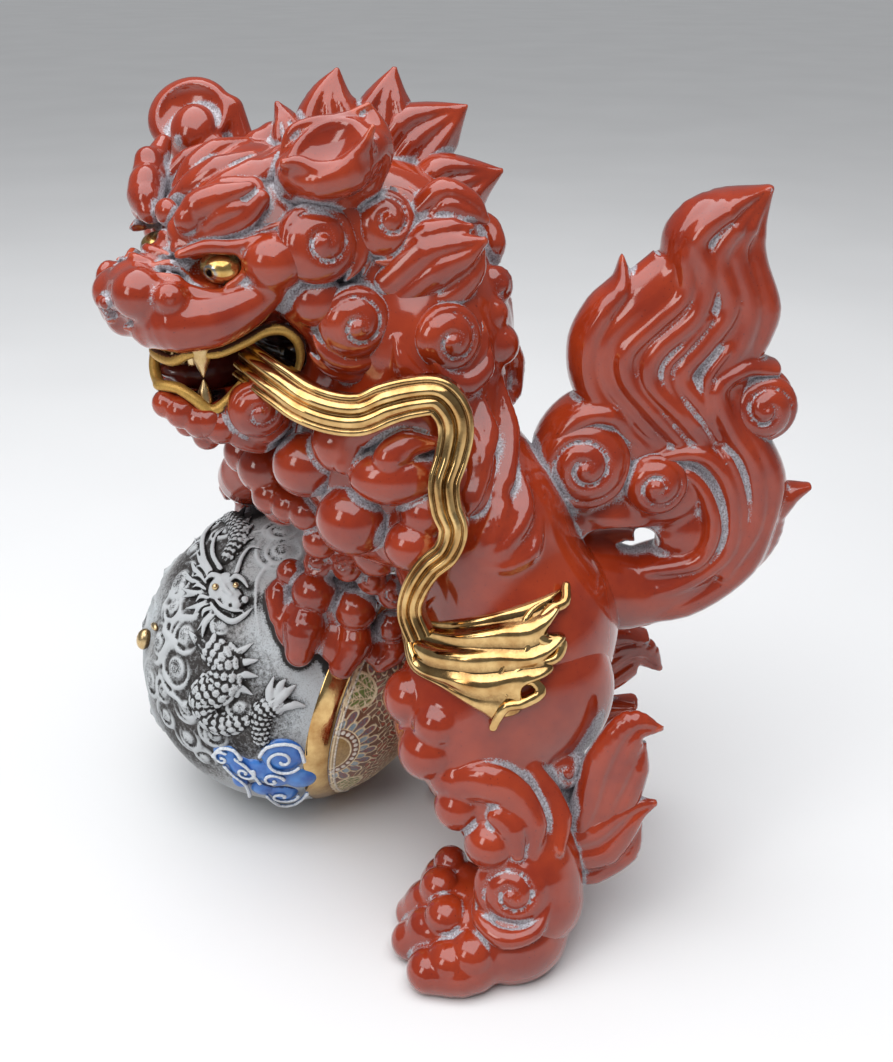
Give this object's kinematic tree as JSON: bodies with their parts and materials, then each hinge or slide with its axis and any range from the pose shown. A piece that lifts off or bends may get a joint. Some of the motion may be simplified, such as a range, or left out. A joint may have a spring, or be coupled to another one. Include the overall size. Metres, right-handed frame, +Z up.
{
  "type": "foo dog statue",
  "caption": "Glazed porcelain guardian lion standing with its forepaws on a relief ball, curled flame tail raised, gilt ribbon streaming from its mouth.",
  "frame": {"origin": "middle of the overall box's footprint, on the shelf the statue stands on", "axes": "+Z up, -Y the way the body faces (the ball side), +X the lion's left"},
  "size_m": [0.2732, 0.3436, 0.3979],
  "materials": {
    "red_glaze": "glossy iron-red glaze over white slip rubbed into the crevices",
    "gold_lustre": "fired gold lustre, bright",
    "lip_gold": "satin gold paint",
    "bisque_white": "unglazed grey-white biscuit with dark wash",
    "blue_enamel": "cobalt blue enamel",
    "brocade_enamel": "polychrome brocade enamel with raised gold",
    "tongue_glaze": "dark red glaze"
  },
  "bodies": {
    "root": {"ball_brocade_panel": "brocade_enamel", "ball_gold_band": "gold_lustre", "ball_shell": "bisque_white", "beard": "red_glaze", "brow_left": "red_glaze", "brow_right": "red_glaze", "chest_ruff": "red_glaze", "cloud_scroll_blue": "blue_enamel", "crest_flame_1": "red_glaze", "crest_flame_2": "red_glaze", "crest_flame_3": "red_glaze", "crest_flame_4": "red_glaze", "crest_flame_5": "red_glaze", "dragon_body": "bisque_white", "dragon_claw": "bisque_white", "dragon_head": "bisque_white", "dragon_pearl": "gold_lustre", "ear_left": "red_glaze", "ear_right": "red_glaze", "eye_left": "gold_lustre", "eye_right": "gold_lustre", "front_teeth": "gold_lustre", "head": "red_glaze", "left_foreleg": "red_glaze", "left_hind_leg": "red_glaze", "left_hind_paw": "red_glaze", "left_leg_flame_lower": "red_glaze", "left_leg_flame_upper": "red_glaze", "lower_fang_left": "gold_lustre", "lower_fang_right": "gold_lustre", "lower_jaw": "red_glaze", "lower_lip": "lip_gold", "mane_curl_cheek_left": "red_glaze", "mane_curl_cheek_right": "red_glaze", "mane_curl_jaw_left": "red_glaze", "mane_curl_jaw_right": "red_glaze", "mane_curl_neck_left": "red_glaze", "mane_curl_neck_right": "red_glaze", "mane_curl_upper_left": "red_glaze", "mane_curl_upper_right": "red_glaze", "mane_lock_left": "red_glaze", "mane_lock_right": "red_glaze", "ribbon_end": "gold_lustre", "ribbon_stream": "gold_lustre", "right_foreleg": "red_glaze", "right_hind_leg": "red_glaze", "right_hind_paw": "red_glaze", "right_leg_flame_lower": "red_glaze", "right_leg_flame_upper": "red_glaze", "tail": "red_glaze", "tail_curl_inner": "red_glaze", "tail_curl_middle": "red_glaze", "tail_curl_outer": "red_glaze", "tongue": "tongue_glaze", "trunk": "red_glaze", "upper_fang_left": "gold_lustre", "upper_fang_right": "gold_lustre", "upper_lip": "lip_gold"}
  },
  "joints": []
}
